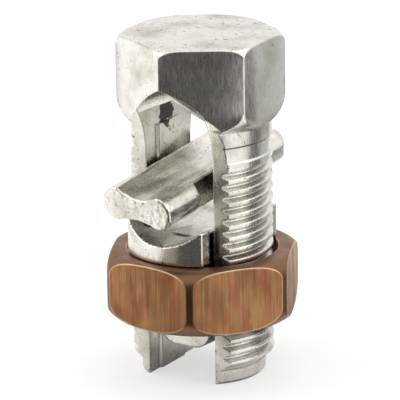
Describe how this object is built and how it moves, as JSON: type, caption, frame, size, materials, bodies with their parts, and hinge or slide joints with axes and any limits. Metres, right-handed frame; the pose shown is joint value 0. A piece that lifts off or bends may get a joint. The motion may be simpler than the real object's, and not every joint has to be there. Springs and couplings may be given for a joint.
{
  "type": "split bolt connector",
  "caption": "Slotted hex-head bolt with a nut, a pressure bar and a loose spacer bar, which clamps electrical wires side by side in its slot.",
  "frame": {"origin": "on the bolt's axis, in the plane of the leg ends", "axes": "+Z along the bolt's axis towards the head, X from leg to leg across the slot, Y along the clamped wires"},
  "size_m": [0.0274, 0.03, 0.0468],
  "materials": {
    "tin_plate": "bright tin plate on cast bronze",
    "bare_bronze": "bare copper-brown bronze, wire-drawn flats"
  },
  "bodies": {
    "bolt": {"bolt_body": "tin_plate"},
    "bar": {"pressure_bar": "tin_plate"},
    "nut": {"nut": "bare_bronze"},
    "spacer": {"spacer_bar": "tin_plate"}
  },
  "joints": [
    {"name": "bar_slide", "type": "slide", "parent": "bolt", "child": "bar", "axis": [0, 0, 1], "range_m": [-0.0078, 0.0031]},
    {"name": "nut_spin", "type": "hinge", "parent": "bar", "child": "nut", "pos_m": [0, 0, 0.0125], "axis": [0, 0, 1], "range_deg": [-1775, 710]},
    {"name": "spacer_slide", "type": "slide", "parent": "bar", "child": "spacer", "axis": [0, 0, 1], "range_m": [-0.003, 0]}
  ],
  "couplings": [
    {"joint": "nut_spin", "follows": "bar_slide", "rad_per_m": 3957.9}
  ]
}
